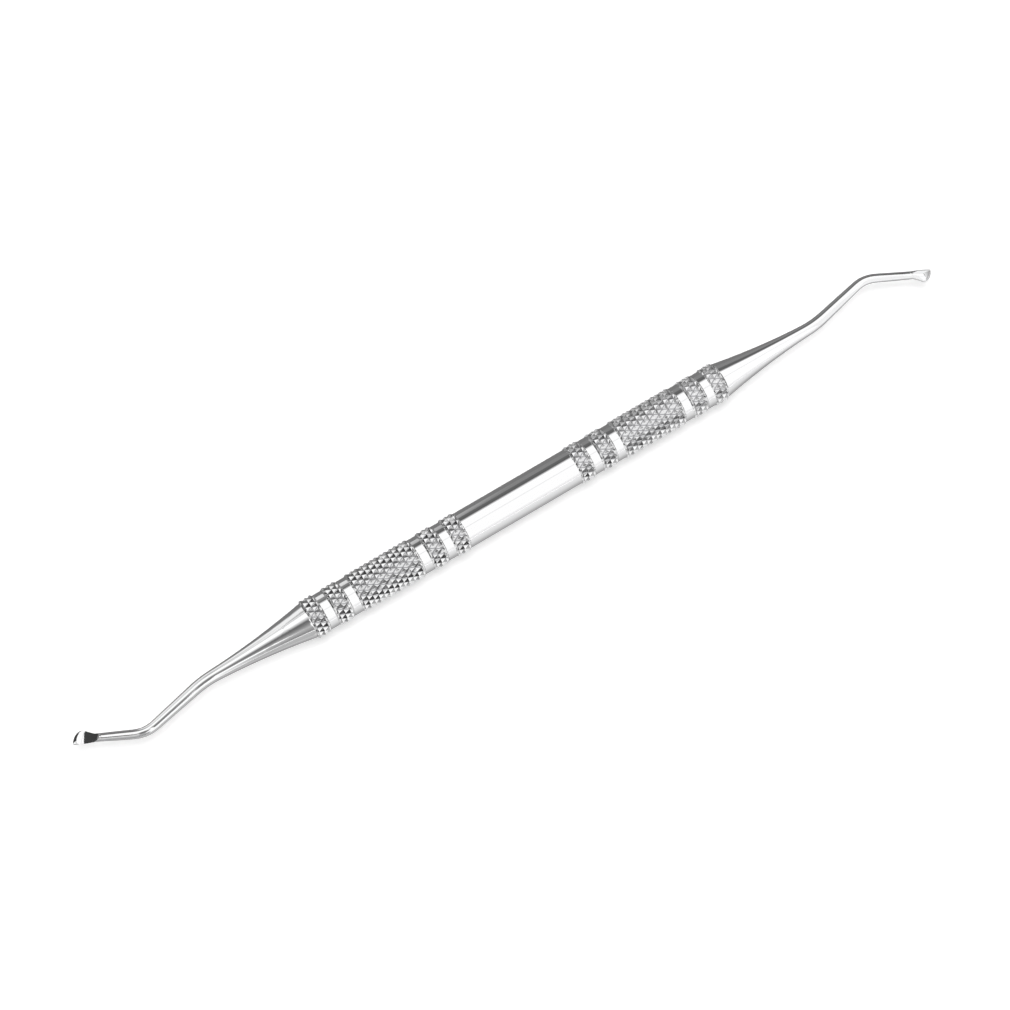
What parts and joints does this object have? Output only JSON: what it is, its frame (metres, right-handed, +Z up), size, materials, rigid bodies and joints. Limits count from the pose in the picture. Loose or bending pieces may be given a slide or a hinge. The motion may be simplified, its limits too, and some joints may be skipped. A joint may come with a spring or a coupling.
{
  "type": "clay modelling tool",
  "caption": "Double-ended steel modelling tool: knurled hollow handle with a smooth middle, tapered bent shanks and small hollow-ground scoops for carving clay and wax.",
  "frame": {"origin": "on the table, under the middle of the handle: the bottom centre of the box round the tool as it lies", "axes": "+X along the handle towards the end whose scoop faces down, +Y across the handle in the plane of the bends, +Z up from the table"},
  "size_m": [0.1648, 0.0068, 0.0069],
  "materials": {
    "handle_steel": "bright polished stainless steel with rolled diamond knurling",
    "end_steel": "ground and mirror polished stainless steel",
    "braze_metal": "pale silver braze, flowed into the joint"
  },
  "bodies": {
    "root": {"handle_tube": "handle_steel", "left_working_end": "end_steel", "right_working_end": "end_steel", "left_braze_ring": "braze_metal", "right_braze_ring": "braze_metal"}
  },
  "joints": []
}
